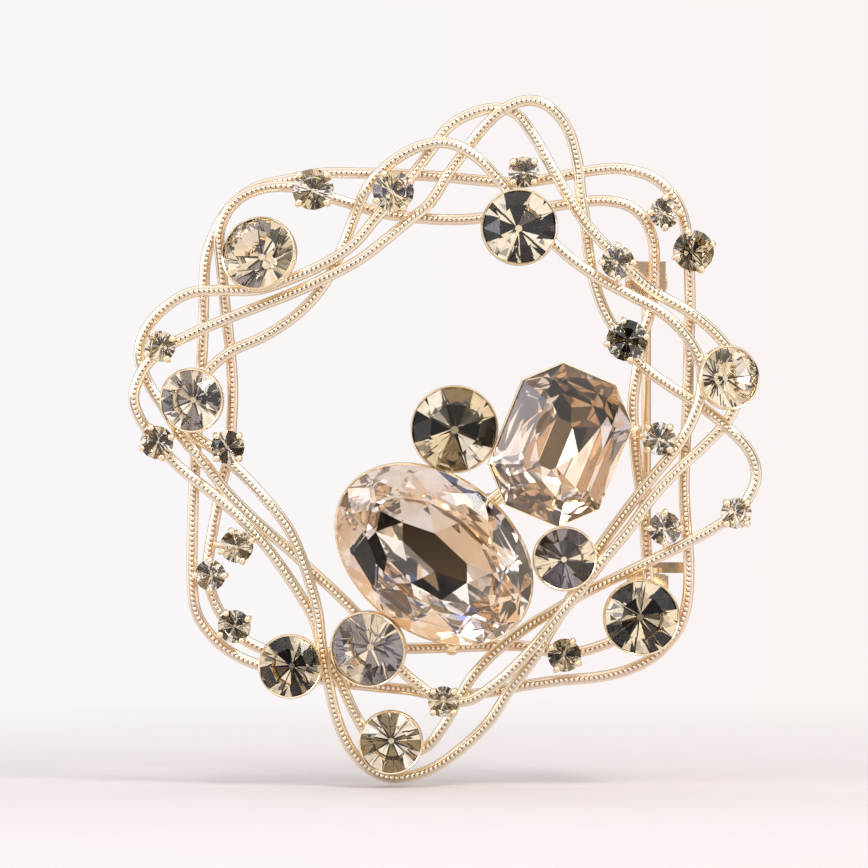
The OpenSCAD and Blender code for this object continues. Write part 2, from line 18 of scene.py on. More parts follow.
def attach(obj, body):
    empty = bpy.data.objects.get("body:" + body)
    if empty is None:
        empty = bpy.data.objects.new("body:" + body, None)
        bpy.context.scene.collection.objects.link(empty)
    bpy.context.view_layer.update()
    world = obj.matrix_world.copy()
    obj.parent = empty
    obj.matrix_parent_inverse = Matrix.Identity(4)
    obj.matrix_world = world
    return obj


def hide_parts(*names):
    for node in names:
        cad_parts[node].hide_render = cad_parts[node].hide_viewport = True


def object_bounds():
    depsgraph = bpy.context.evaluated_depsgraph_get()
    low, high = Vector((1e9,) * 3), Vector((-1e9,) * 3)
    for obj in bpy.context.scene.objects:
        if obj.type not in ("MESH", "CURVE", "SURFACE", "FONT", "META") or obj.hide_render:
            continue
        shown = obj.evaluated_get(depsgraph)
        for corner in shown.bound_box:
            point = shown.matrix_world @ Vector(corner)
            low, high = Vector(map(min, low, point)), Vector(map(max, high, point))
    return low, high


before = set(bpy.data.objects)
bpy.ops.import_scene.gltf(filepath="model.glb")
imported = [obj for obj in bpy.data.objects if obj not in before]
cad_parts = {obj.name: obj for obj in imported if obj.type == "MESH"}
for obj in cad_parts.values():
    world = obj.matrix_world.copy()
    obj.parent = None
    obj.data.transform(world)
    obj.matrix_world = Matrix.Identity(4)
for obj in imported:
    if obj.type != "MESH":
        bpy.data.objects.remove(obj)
cad_low, cad_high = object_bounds()
print("CAD box", [round(1000 * (h - l), 1) for l, h in zip(cad_low, cad_high)], "mm")

# %% [markdown]
# ## The maker's drawing board
# The wreath was laid out flat, as a maker bends wire over a drawing: x to the right, y up and
# z towards the eye, in millimetres. One matrix stands that drawing up as it is worn and turns
# it into metres, so each piece is shaped in the easy frame and moved once.

# %% From the drawing board to the worn brooch
MM = Matrix.Scale(0.001, 4)  # millimetres to metres
STEM_X, PIN_MIDDLE_Y = 17.0, 0.4
WORN = (MM @ Matrix.Rotation(math.radians(90), 4, "X")
        @ Matrix.Translation((-STEM_X, -PIN_MIDDLE_Y, 0)))
print("middle of the drawing lies at", tuple(round(1000 * c, 1) for c in WORN @ Vector()), "mm")

# %% [markdown]
# Every new piece ends the same way: its bmesh becomes an object at the origin, it rides on a
# CAD body, stands for the CAD nodes it replaces and takes the finishes it is given.

# %% Turn a bmesh into a piece of the brooch
def make_piece(bm, name, materials, replaced=(), body="brooch", crease=None):
    mesh = bpy.data.meshes.new(name)
    bm.to_mesh(mesh)
    bm.free()
    if crease is not None:
        mesh.shade_smooth()
        mesh.set_sharp_from_angle(angle=math.radians(crease))
    for material in materials:
        mesh.materials.append(material)
    piece = bpy.data.objects.new(name, mesh)
    bpy.context.scene.collection.objects.link(piece)
    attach(piece, body)
    if replaced:
        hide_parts(*replaced)
    return piece

# %% [markdown]
# ## Finishes
# Colours are written as sRGB hex codes, as a designer picks them, and one function turns
# them to the linear values that Blender mixes. A second small function adds a node, sets its
# values and links its inputs, so each material below reads as a short recipe.

# %% Colour and node helpers
def linear(hex_code):
    channels = [int(hex_code[i:i + 2], 16) / 255 for i in (1, 3, 5)]
    return tuple(c / 12.92 if c <= 0.04045 else ((c + 0.055) / 1.055) ** 2.4
                 for c in channels) + (1.0,)


def add_node(tree, kind, values=None, links=None, **settings):
    made = tree.nodes.new(kind)
    for key, value in settings.items():
        setattr(made, key, value)
    for key, value in (values or {}).items():
        made.inputs[key].default_value = value
    for key, socket in (links or {}).items():
        tree.links.new(socket, made.inputs[key])
    return made


def new_material(name):
    material = bpy.data.materials.new(name)
    material.use_nodes = True
    tree = material.node_tree
    return material, tree, tree.nodes["Principled BSDF"]

# %% [markdown]
# The metal is zinc alloy or brass with a thin electroplated layer of pale champagne gold,
# tumbled to a soft polish. Plating follows the casting, so the colour drifts a little over
# several millimetres, the gloss varies over a millimetre or so, and a fine grain of about
# 0.05 mm breaks the sharpest highlights. Between the beads and in the grooves beside them the
# wires get painted shade: dark brown is mixed in where an attribute named painted_groove_shade
# marks those places. A metal keeps the default IOR.

# %% Plated gold
def plated_gold(name, light_hex, deep_hex, roughness, grain_mm=0.05):
    material, tree, shader = new_material(name)
    place = add_node(tree, "ShaderNodeTexCoord").outputs["Object"]
    drift = add_node(tree, "ShaderNodeTexNoise", {"Scale": 160.0, "Detail": 2.0},
                     {"Vector": place})
    tint = add_node(tree, "ShaderNodeMix", {"A": linear(deep_hex), "B": linear(light_hex)},
                    {"Factor": drift.outputs["Fac"]}, data_type="RGBA")
    painted_groove_shade = add_node(tree, "ShaderNodeAttribute", attribute_name="painted_groove_shade")
    # painted shade: dark brown mixed in between the beads and in the grooves
    shaded_tint = add_node(tree, "ShaderNodeMix", {"B": linear("#4C3218")},
                    {"Factor": painted_groove_shade.outputs["Fac"], "A": tint.outputs["Result"]},
                    data_type="RGBA")
    tree.links.new(shaded_tint.outputs["Result"], shader.inputs["Base Color"])
    wear = add_node(tree, "ShaderNodeTexNoise", {"Scale": 900.0, "Detail": 3.0},
                    {"Vector": place})
    gloss = add_node(tree, "ShaderNodeMapRange",
                     {"To Min": roughness * 0.75, "To Max": roughness * 1.35},
                     {"Value": wear.outputs["Fac"]})
    tree.links.new(gloss.outputs["Result"], shader.inputs["Roughness"])
    grain = add_node(tree, "ShaderNodeTexNoise", {"Scale": 1000.0 / grain_mm / 4, "Detail": 2.0},
                     {"Vector": place})
    bump = add_node(tree, "ShaderNodeBump", {"Strength": 0.12, "Distance": 0.00002},
                    {"Height": grain.outputs["Fac"]})
    tree.links.new(bump.outputs["Normal"], shader.inputs["Normal"])
    shader.inputs["Metallic"].default_value = 1.0
    return material


champagne_plate = plated_gold("champagne_gold_plate", "#FDF1DC", "#F8E7CB", 0.16)
# painted shade: the back wires get a slightly darker, rougher and pinker copy of the gold, for
# lying behind the front wires
back_wire_shaded_plate = plated_gold("back_wire_gold_shaded_copy", "#FCEBD6", "#F5DDC2", 0.20)
setting_plate = plated_gold("setting_gold_plate", "#FCEDD2", "#F5DDB6", 0.14)
pin_plate = plated_gold("pin_gold_plate", "#F6DCBC", "#E8C6A0", 0.22)
print("metals:", [m.name for m in (champagne_plate, back_wire_shaded_plate, setting_plate, pin_plate)])

# %% [markdown]
# Pegs, prongs and claws are all rods, so one helper stands a tapered rod between two points.

# %% A tapered rod between two points
def add_rod(bm, start, end, thick, thin, placing, sides=16, ball=False):
    run = Vector(end) - Vector(start)
    stand = (placing @ Matrix.Translation(start)
             @ Vector((0, 0, 1)).rotation_difference(run).to_matrix().to_4x4())
    half_way = stand @ Matrix.Translation((0, 0, run.length / 2))
    far_end = stand @ Matrix.Translation((0, 0, run.length))
    bmesh.ops.create_cone(bm, cap_ends=True, segments=sides, radius1=thick, radius2=thin,
                          depth=run.length, matrix=half_way)
    if ball:
        bmesh.ops.create_uvsphere(bm, u_segments=sides, v_segments=8, radius=thin * 1.02,
                                  matrix=far_end)

# %% [markdown]
# The crystals are cut and polished lead-free glass with a foiled back. What the eye sees
# through the clear front is the mirror behind it: wedges of dark olive, cream and white that
# come from the facets of the back and from what they reflect. So each crystal gets two
# finishes: clear glass in front with a glass IOR, and foil behind, whose colour is stored
# facet by facet as a colour attribute on the mesh. That colour is the stone's smoky or peach
# tone together with painted reflections and painted highlights, dark and white wedges painted
# on the foil. The smoky crystals have a bright mirror foil. The lacquer over the foil of the
# peach crystals scatters part of the light, so that one is a little less than metal.

# %% Foiled glass
def clear_glass(name, tint_hex, ior):
    material, tree, shader = new_material(name)
    place = add_node(tree, "ShaderNodeTexCoord").outputs["Object"]
    smear = add_node(tree, "ShaderNodeTexNoise", {"Scale": 400.0, "Detail": 1.0},
                     {"Vector": place})
    polish = add_node(tree, "ShaderNodeMapRange", {"To Min": 0.0, "To Max": 0.008},
                      {"Value": smear.outputs["Fac"]})
    tree.links.new(polish.outputs["Result"], shader.inputs["Roughness"])
    shader.inputs["Base Color"].default_value = linear(tint_hex)
    shader.inputs["Transmission Weight"].default_value = 1.0
    shader.inputs["IOR"].default_value = ior
    return material


def foil_with_painted_reflections(name, metal, roughness):
    material, tree, shader = new_material(name)
    # the facet colours hold the painted reflections and painted highlights of the foil
    facet = add_node(tree, "ShaderNodeAttribute", attribute_name="facet")
    place = add_node(tree, "ShaderNodeTexCoord").outputs["Object"]
    cloud = add_node(tree, "ShaderNodeTexNoise", {"Scale": 700.0, "Detail": 2.0},
                     {"Vector": place})
    shade = add_node(tree, "ShaderNodeMapRange", {"To Min": 0.88, "To Max": 1.08},
                     {"Value": cloud.outputs["Fac"]})
    tint = add_node(tree, "ShaderNodeVectorMath", None,
                    {0: facet.outputs["Color"], "Scale": shade.outputs["Result"]},
                    operation="SCALE")
    tree.links.new(tint.outputs["Vector"], shader.inputs["Base Color"])
    shader.inputs["Metallic"].default_value = metal
    shader.inputs["Roughness"].default_value = roughness
    return material


smoky_glass = clear_glass("smoky_crystal_glass", "#F1E9DC", 1.55)
peach_glass = clear_glass("peach_crystal_glass", "#FCF3E9", 1.58)
smoky_foil_and_reflections = foil_with_painted_reflections("smoky_foil_with_painted_reflections", 1.0, 0.01)
peach_foil_and_reflections = foil_with_painted_reflections("peach_foil_with_painted_reflections", 0.85, 0.015)
print("crystals:", smoky_glass.name, peach_glass.name, smoky_foil_and_reflections.name, peach_foil_and_reflections.name)

# %% [markdown]
# ## The five wires
# Each wire is one closed ring of round wire, bent by hand over the drawing. The course below
# lists the bends: x, y and the layer, from 0 for the lowest wires upwards. These are the same
# bends as in the CAD source, because a course is the maker's choice and not a measurement.

# %% The courses of the wires, in millimetres and layers
OUTER_BACK_COURSE = [
    (-19.5, 17.2, 0), (-18.6, 18.9, 0), (-17.3, 20.3, 0), (-15.7, 21.3, 0), (-13, 21.9, 0),
    (-10.3, 22.4, 0), (-7, 22.4, 0), (-3.8, 22.3, 0), (-0.3, 22.1, 0), (2.8, 21.8, 0),
    (5.8, 21.6, 0), (8.5, 21.9, 0), (11.5, 22.5, 0), (14.2, 22.8, 0), (16.5, 22.4, 0),
    (18, 21.6, 0), (19.4, 20, 0), (20.1, 18, 0), (20.4, 15, 0), (20.5, 11.5, 0), (20.4, 7.5, 0),
    (20.3, 3.3, 0), (20.1, -0.8, 0), (20, -4.2, 0), (20.2, -7.5, 0), (20.4, -10.4, 0),
    (20.3, -13.1, 0), (19.8, -15.3, 0), (18.8, -16.9, 0), (17.3, -18.3, 0), (15.3, -19.3, 0),
    (12.8, -19.9, 0), (9.5, -20.2, 0), (6.7, -20.6, 0), (2.8, -21.3, 0), (-0.2, -21.5, 0),
    (-3, -21, 0), (-6, -20.7, 0), (-9.3, -20.3, 0), (-12.6, -19.6, 0), (-15.7, -18.9, 0),
    (-18.1, -17.8, 0), (-19.9, -16.2, 0), (-21, -14.3, 0), (-21.3, -11.8, 0), (-21.3, -8.5, 0),
    (-21.2, -5, 0), (-21, -1, 0), (-20.7, 3.5, 0), (-20.4, 8.5, 0), (-20.3, 13.2, 0),
    (-20.1, 15.4, 0),
]

INNER_BACK_COURSE = [
    (-19, 17.1, 1), (-18.4, 19, 1), (-17.2, 20.3, 1), (-15.3, 21.1, 1), (-13, 21.2, 1),
    (-10.6, 20.6, 0.5), (-7.6, 19.7, 0), (-5.1, 19, 0), (-1.9, 18.6, 0), (1.2, 18.5, 0),
    (4, 18.8, 0), (7, 19.3, 0), (10.2, 19.8, 0), (13, 20.1, 0), (15.2, 19.7, 0), (16.6, 18.6, 0),
    (17.4, 16.7, 0), (17.5, 14.2, 0), (17.3, 11.3, 0), (16.5, 8.6, 0), (16, 5.5, 0),
    (15.7, 2.9, 0), (15.8, 0.5, 0), (16.1, -2.7, 0), (16.6, -5.8, 0), (16.8, -8.8, 0),
    (17, -11.8, 0), (16.8, -13.8, 0), (16.1, -15.4, 0), (15, -16.4, 0), (13.2, -17.2, 0),
    (11.1, -17.8, 0), (8.9, -17.8, 0), (6.4, -17.3, 0), (3.5, -17.3, 0), (0.5, -17.4, 0),
    (-3, -17.5, 0), (-6, -17.4, 0), (-9, -17.7, 0), (-12, -18.2, 0), (-14.6, -17.8, 0),
    (-16.7, -16.9, 0), (-18.3, -15.4, 0), (-19.4, -13.6, 0), (-20, -11.3, 0), (-19.8, -9, 0),
    (-19.4, -6.7, 0), (-18.8, -3.6, 0), (-18.2, -1.2, 0), (-18, 1.3, 0), (-17.9, 4.2, 0),
    (-18.1, 7.4, 0), (-18.5, 11, 0.1), (-18.8, 14.2, 0.6),
]

ARCH_COURSE = [
    (0.3, 24.8, 1), (-2, 24.6, 1), (-4.3, 23.4, 1), (-6.4, 21.4, 0.6), (-7.6, 18.9, 0),
    (-8.8, 15.8, 0), (-10.3, 12.9, 0), (-12.4, 10.6, 0), (-15, 8.8, 0), (-18.2, 7.3, 0),
    (-20.3, 5.3, 0), (-21.4, 2.7, 0), (-21.2, 0.6, 0), (-19.4, -0.8, 0.3), (-17.2, -2.7, 0.6),
    (-15.2, -4.8, 1), (-13.3, -7.2, 1), (-12.2, -9.5, 1), (-11.3, -12.2, 1), (-10.7, -14.6, 1),
    (-10.4, -17.2, 1), (-9.8, -20.5, 1), (-9.1, -23.4, 0.6), (-7.9, -26, 0.3), (-6.2, -27.7, 0),
    (-4.2, -28.3, 0), (-1.5, -27.7, 0), (1.1, -26, 0), (3.6, -23.6, 0), (5.3, -21, 0.3),
    (7.2, -18.5, 0.8), (8.9, -15.7, 1), (10.7, -12.7, 1), (12.7, -9.2, 1), (15, -6, 1),
    (17.2, -3.2, 1), (19.3, -0.6, 1), (20.7, 1.9, 1), (21.4, 4.4, 1), (21.2, 6.7, 1), (20, 8.8, 1),
    (18, 10.7, 1), (15.6, 12, 1), (13, 13.4, 1), (10.4, 15.2, 1), (8.4, 17.1, 0.8),
    (6.4, 19.4, 0.6), (4.4, 21.8, 0.8), (2.5, 23.7, 1),
]

SWING_COURSE = [
    (4.2, 27.8, 0), (2, 27.3, 0), (0.2, 26.2, 0), (-1.1, 24.5, 0), (-2.5, 22.6, 0.3),
    (-4.2, 20.4, 0.7), (-5.9, 18.5, 1), (-7.6, 16.5, 1), (-9.7, 15, 1), (-12.4, 13.7, 1),
    (-15.6, 12.6, 1), (-18.7, 12.5, 1), (-21.4, 12.3, 1), (-23.6, 11, 0.7), (-25.1, 9.3, 0.2),
    (-25.7, 7.2, 0), (-25, 4.9, 0), (-23.5, 2.5, 0.4), (-21.9, 0, 0.8), (-20, -2.2, 0.8),
    (-18.2, -4.5, 0.5), (-15.9, -6.8, 0.2), (-13.4, -9, 0), (-11.2, -11, 0), (-8.8, -13.2, 0.2),
    (-6.8, -15.3, 0.5), (-5, -17.9, 0.8), (-2.8, -20.1, 1), (-0.5, -21.6, 1), (1.8, -21.8, 1),
    (4, -20.5, 1.2), (6, -18.7, 1.6), (7.8, -16.7, 2), (9.6, -14.5, 2), (11.3, -12.4, 2),
    (13.3, -9.8, 2), (15.3, -7.4, 1.8), (17.4, -4.6, 1.4), (19.5, -2.4, 0.9), (21.7, -0.4, 0.3),
    (23.7, 1.8, 0), (24.6, 4.2, 0), (24.1, 6.8, 0), (22.6, 8.9, 0), (20.4, 10.7, 0.2),
    (17.8, 12.2, 0.4), (15.7, 13.9, 0.7), (13.5, 16.1, 1), (11.7, 18.1, 1), (10.2, 20.4, 0.8),
    (8.7, 23.1, 0.4), (7.2, 25.7, 0), (5.9, 27.3, 0),
]

PEAK_COURSE = [
    (6.9, 28.4, 1), (4.9, 27.7, 1), (3.2, 26.2, 0.7), (1.6, 24.2, 0), (0.2, 22.3, 0),
    (-1.3, 19.9, 0.2), (-3.2, 18.3, 0.6), (-5.1, 16.7, 0.9), (-7.2, 15.1, 1), (-9.6, 13.8, 1),
    (-12.3, 12.5, 1), (-15.3, 11.3, 1), (-18.4, 10.1, 1), (-21.4, 8.8, 1), (-23.6, 7.6, 1),
    (-25.3, 5.9, 1), (-26.1, 3.7, 1), (-25.6, 1.8, 0.8), (-24.1, -0.3, 0.6), (-22.3, -2.3, 0.6),
    (-19.9, -4.2, 0.6), (-17.9, -5.9, 0.5), (-15.9, -7.9, 0.4), (-14.1, -10.2, 0.2),
    (-12.4, -12.7, 0), (-11, -15.2, 0), (-10.3, -17.7, 0), (-8.9, -20.2, 0), (-7.7, -22.8, 0),
    (-6.3, -25, 0), (-4.2, -26.2, 0), (-1.8, -25.8, 0), (-0.3, -24.1, 0), (0.8, -22.2, 0),
    (2.1, -20, 0), (4, -17.9, 0), (6.5, -15.9, 0), (8.9, -14.4, 0), (11.5, -12.9, 0),
    (13.9, -11.7, 0), (17, -10.2, 0.2), (20, -8.7, 0.4), (22.4, -7.4, 0.6), (24.6, -5.8, 0.8),
    (25.9, -3.4, 1), (25.5, -1.2, 1), (23.8, 0.8, 1), (21.4, 2.8, 0), (18.6, 4.6, 0),
    (16.5, 6.2, 0), (14.9, 8.2, 0), (13.5, 10.4, 0), (12.6, 12.7, 0), (12, 15.4, 0),
    (11.7, 18.2, 0), (11.3, 20.8, 0), (11, 23.4, 0.2), (10.2, 26, 0.6), (8.7, 27.8, 1),
]
WIRE, LAYER, BACK_Z = 0.95, 0.9, 4.6
FRONT_Z = BACK_Z + LAYER
print(sum(len(c) for c in (OUTER_BACK_COURSE, INNER_BACK_COURSE, ARCH_COURSE, SWING_COURSE,
                           PEAK_COURSE)), "bends in five wires")

# %% [markdown]
# A smooth curve through all the bends is a Catmull-Rom curve: at each bend it runs parallel
# to the line between the two neighbours. It is sampled finely and then walked in equal steps,
# so that the beads on the wire all come out the same size.

# %% Walk a course in equal steps
def walk(course, first_z, step):
    bends = np.array([(x, y, first_z + LAYER * z) for x, y, z in course])
    u = np.linspace(0, 1, 24, endpoint=False)[:, None]
    fine = np.concatenate([
        0.5 * (2 * b + (c - a) * u + (2 * a - 5 * b + 4 * c - d) * u ** 2
               + (3 * b - a - 3 * c + d) * u ** 3)
        for a, b, c, d in zip(np.roll(bends, 1, 0), bends, np.roll(bends, -1, 0),
                              np.roll(bends, -2, 0))])
    closed = np.vstack([fine, fine[:1]])
    along = np.concatenate([[0], np.cumsum(np.linalg.norm(np.diff(closed, axis=0), axis=1))])
    count = int(round(along[-1] / step))
    stops = np.linspace(0, along[-1], count, endpoint=False)
    return np.stack([np.interp(stops, along, closed[:, i]) for i in range(3)], 1), along[-1]

# %% [markdown]
# Milgrain is a row of tiny beads rolled into the front of the wire between two smooth rails,
# with a plain round back. The real pitch is about 0.42 mm. A flat bmesh grid is wrapped round
# the course: one direction runs along the wire, five rows to a bead, and the other goes round
# it. The rows near the front are close together and swell into beads; the rest stay round.
# Where the grid's edges meet, the doubled points are merged, so the wire is one closed skin.

# %% Wrap a grid into a beaded wire
BEAD_PITCH, BEAD_HEIGHT, ROWS_PER_BEAD = 0.42, 0.10, 5
BEAD_ROW, GROOVE, RAIL = 19, 30, 50  # where each ends or lies, in degrees from the front
SKIN_SINK = 0.012  # millimetres, so that the highest beads stay within the wire's size
AROUND = [0, 9, 18, 27, 36, 45, 57, 72, 92, 120, 150, 180, 210, 240, 268, 288, 303, 315, 324,
          333, 342, 351]


def bead_swell(angle, row):
    """How far the skin stands out, and how much painted shade it gets between beads and in grooves,
    from 0 to 1.
    """
    side = abs((angle + 180) % 360 - 180)
    along = 0.5 + 0.5 * math.cos(2 * math.pi * row / ROWS_PER_BEAD)
    on_row = math.exp(-(side / BEAD_ROW) ** 4)
    groove = math.exp(-((side - GROOVE) / 8.0) ** 2)
    rail = math.exp(-((side - RAIL) / 12.0) ** 2)
    swell = on_row * (1.15 * along ** 0.7 - 0.55) - 0.55 * groove + 0.25 * rail
    # painted shade: strongest in the gaps between beads, weaker in the grooves
    gap = on_row * max(0.0, 1 - 2.2 * along)
    return BEAD_HEIGHT * swell, min(1.0, gap + 0.42 * groove)


def beaded_wire(name, course, first_z, finish):
    path, length = walk(course, first_z, BEAD_PITCH / ROWS_PER_BEAD)
    beads = len(path) // ROWS_PER_BEAD
    path, length = walk(course, first_z, length / (beads * ROWS_PER_BEAD))
    ahead = np.roll(path, -1, 0) - np.roll(path, 1, 0)
    ahead /= np.linalg.norm(ahead, axis=1)[:, None]
    across = np.cross((0, 0, 1), ahead)
    across /= np.linalg.norm(across, axis=1)[:, None]
    front = np.cross(ahead, across)
    rows, ring = len(path), len(AROUND)
    bm = bmesh.new()
    bmesh.ops.create_grid(bm, x_segments=rows, y_segments=ring, size=1.0)
    # painted shade between the beads and in the grooves, stored point by point
    painted_groove_shade = bm.verts.layers.float.new("painted_groove_shade")
    for vert in bm.verts:
        row = round((vert.co.x + 1) / 2 * rows)
        angle = AROUND[round((vert.co.y + 1) / 2 * ring) % ring]
        swing = math.radians(angle)
        swell, vert[painted_groove_shade] = bead_swell(angle, row)
        radius = WIRE / 2 - SKIN_SINK + swell
        k = row % rows
        vert.co = path[k] + radius * (math.cos(swing) * front[k] + math.sin(swing) * across[k])
    bmesh.ops.remove_doubles(bm, verts=bm.verts, dist=0.0005)
    bmesh.ops.recalc_face_normals(bm, faces=bm.faces)
    for face in bm.faces:
        face.smooth = True
    bmesh.ops.transform(bm, matrix=WORN, verts=bm.verts)
    print(f"{name}: {length:.0f} mm long, {rows // ROWS_PER_BEAD} beads a side, "
          f"{len(bm.faces)} faces")
    return make_piece(bm, name, [finish], [name.replace("beaded_", "")])


for wire_name, course, first_z, finish, slot in (
        ("back_wire_outer", OUTER_BACK_COURSE, BACK_Z, back_wire_shaded_plate, "back_wire_gold"),
        ("back_wire_inner", INNER_BACK_COURSE, BACK_Z, back_wire_shaded_plate, "back_wire_gold"),
        ("front_wire_arch", ARCH_COURSE, FRONT_Z, champagne_plate, "front_wire_gold"),
        ("front_wire_swing", SWING_COURSE, FRONT_Z, champagne_plate, "front_wire_gold"),
        ("front_wire_peak", PEAK_COURSE, FRONT_Z, champagne_plate, "front_wire_gold")):
    beaded_wire("beaded_" + wire_name, course, first_z, finish)

# %% [markdown]
# ## The crystals
# A cut crystal is convex, so it is the convex hull of its corners. The corners lie on rings:
# the table in front, the girdle at the widest place and the culet behind. Turning a ring by
# half a step against its neighbour gives the kites and triangles of a brilliant cut.

# %% Cut a crystal from rings of corners
FLAT = math.radians(0.6)  # neighbours that turn less than this are one facet


def hull_of(bm):
    hull = bmesh.ops.convex_hull(bm, input=bm.verts)
    spare = [g for g in hull["geom_interior"] + hull["geom_unused"]
             if isinstance(g, bmesh.types.BMVert) and g.is_valid]
    bmesh.ops.delete(bm, geom=spare, context="VERTS")
    loose = [e for e in bm.edges if not e.link_faces]
    bmesh.ops.delete(bm, geom=loose, context="EDGES")
    bmesh.ops.dissolve_limit(bm, angle_limit=FLAT, verts=bm.verts, edges=bm.edges)
    bmesh.ops.recalc_face_normals(bm, faces=bm.faces)
    return bm


def cut_crystal(rings):
    bm = bmesh.new()
    for corners, length, width, height, turn in rings:
        shape = (Matrix.Translation((0, 0, height)) @ Matrix.Diagonal((length, width, 1, 1))
                 @ Matrix.Rotation(math.radians(turn), 4, "Z"))
        bmesh.ops.create_circle(bm, segments=corners, radius=1.0, matrix=shape)
    return hull_of(bm)


def foil_the_back(bm, palette, chooser):
    """Back facets get the foil finish, each with a colour from the palette, which mixes the stone's
    tone with painted reflections and highlights.
    """
    colours = bm.loops.layers.float_color.new("facet")
    for face in bm.faces:
        face.normal_update()
        behind = face.normal.z < -0.05
        face.material_index = 1 if behind else 0
        tint = linear(palette[chooser(face)] if behind else "#FFFFFF")
        for loop in face.loops:
            loop[colours] = tint

# %% [markdown]
# ### Round crystals
# The CAD node says where each round crystal lies. Its points are symmetrical about the
# crystal's own axis, and they spread least along it, so the axis falls out of the points'
# covariance. The lowest point along the axis is the culet, and the farthest from it the girdle.

# %% Find where a round crystal lies
PAVILION, CROWN, GIRDLE, TABLE = 0.40, 0.19, 0.03, 0.30


def seat_of(node):
    points = np.array([v.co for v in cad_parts[node].data.vertices]) * 1000
    points = np.unique(points.round(5), axis=0)
    middle = points.mean(0)
    spread, directions = np.linalg.eigh(np.cov((points - middle).T))
    axis = directions[:, 0] * (-1 if directions[1, 0] > 0 else 1)
    height = (points - middle) @ axis
    off_axis = np.linalg.norm((points - middle) - height[:, None] * axis, axis=1)
    diameter = 2 * off_axis.max()
    origin = middle + axis * (height.min() + PAVILION * diameter)
    tip = Vector((0, -1, 0)).rotation_difference(Vector(axis)).to_matrix().to_4x4()
    return Matrix.Translation(origin) @ tip @ Matrix.Rotation(math.pi / 2, 4, "X"), diameter


# %% [markdown]
# Eight wedges meet at the culet and eight kites point in between them from the girdle. Their
# tints are painted reflections: the wedges are mostly dark, the kites go dark and light in turn,
# and one side of each crystal is painted lit all through, a painted highlight as if a window lit
# it.

# %% Cut and place the round crystals
# smoky tones with painted light: near-black and dark painted reflections, white painted highlights
SMOKE_AND_PAINTED_LIGHT = ["#1C1408", "#4B3E28", "#93825F", "#CBBB9A", "#EADFC8", "#FBF6EA", "#FFFFFF", "#96929C"]
CULET_TINT = 4
# each mood gives wheels for the middle, for wedges in painted shade and for wedges painted lit
MOODS = {"dark": ((0, 0, 0, 1, 5), (0, 1, 0, 2), (4, 5, 6)),
         "mid": ((0, 0, 1, 4, 6), (1, 2, 2), (4, 5, 6, 6)),
         "grey": ((7, 1, 7, 5), (7, 1, 7), (5, 6, 7)),
         "pale": ((1, 3, 5, 6), (2, 4, 7), (5, 6, 6))}
MOOD_OF = {"crystal_upper_left": "pale", "crystal_upper_middle": "dark",
           "crystal_lower_right": "dark", "crystal_lower_left": "dark",
           "centre_crystal": "dark", "crystal_left": "pale", "crystal_right": "pale",
           "crystal_inner_right": "grey", "crystal_inner_left": "grey",
           "crystal_left_shoulder": "pale", "crystal_top_right_back": "pale",
           "crystal_right_strand": "pale", "crystal_right_cross": "pale",
           "crystal_right_point": "pale", "crystal_top": "pale", "crystal_top_back": "pale",
           "crystal_right_lower_inside": "pale", "crystal_left_lower_inside": "pale",
           "crystal_left_lower_back": "pale", "crystal_bottom_cross": "pale"}


IN_CLAWS = 4.0  # crystals narrower than this sit in claws, which cover their edge
CULET, CULET_DEPTH = 0.05, 0.372
PAINTED_LIT_HALF_ANGLE = 52


def round_crystal(node, seed):
    seat, d = seat_of(node)
    draw = random.Random(seed)
    r = d / 2 if d > IN_CLAWS else 0.485 * d
    bm = cut_crystal([(8, TABLE * d, TABLE * d, CROWN * d, 0), (16, r, r, GIRDLE * d, 0),
                      (16, r, r, 0, 0),
                      (8, CULET * d, CULET * d, -CULET_DEPTH * d, 22.5)])
    spin = Matrix.Rotation(draw.uniform(0, math.pi), 4, "Z")
    mood = MOOD_OF.get(node, "mid")
    # painted highlight: the side of the crystal that is painted lit; on dark crystals it is nearly
    # the same side each time
    painted_lit_side = draw.uniform(-120, -70) if mood == "dark" else draw.uniform(-180, 180)
    inner_wheel, painted_dark_wheel, painted_light_wheel = MOODS[mood]
    dealt = {}

    def chooser(face):
        if face.normal.z < -0.98:
            return CULET_TINT
        middle = face.calc_center_median()
        inner = math.hypot(middle.x, middle.y) < 0.24 * d
        around = math.degrees(math.atan2(middle.y, middle.x))
        wedge = round((around if inner else around - 22.5) / 45) % 8
        if (wedge, inner) not in dealt:
            shown = spin @ middle
            gap = math.degrees(math.atan2(shown.y, shown.x)) - painted_lit_side
            # painted light: wedges on the painted lit side and every kite take the light wheel
            lit = abs((gap + 180) % 360 - 180) < PAINTED_LIT_HALF_ANGLE or wedge % 2
            outer = painted_light_wheel if lit else painted_dark_wheel
            dealt[wedge, inner] = draw.choice(inner_wheel if inner else outer)
        return dealt[wedge, inner]

    foil_the_back(bm, SMOKE_AND_PAINTED_LIGHT, chooser)
    bmesh.ops.transform(bm, matrix=MM @ seat @ spin, verts=bm.verts)
    return make_piece(bm, node.replace("crystal_", "stone_").replace("_crystal", "_stone"),
                      [smoky_glass, smoky_foil_and_reflections], [node])


# %% [markdown]
# A cup is a thin sheet cone with a rim burnished over the girdle. Its section is drawn once,
# from the middle of the floor out along the outside, over the rim and back down the inside,
# and spun round the crystal's axis.

# %% Spin a cup round a crystal
CUP_WALL, CUP_FLOOR = 0.16, 0.25


def turn_on_lathe(bm, section, steps):
    verts = [bm.verts.new((x, 0, z)) for x, z in section]
    edges = [bm.edges.new(pair) for pair in zip(verts, verts[1:])]
    bmesh.ops.spin(bm, geom=verts + edges, cent=(0, 0, 0), axis=(0, 0, 1),
                   angle=2 * math.pi, steps=steps, use_merge=True)


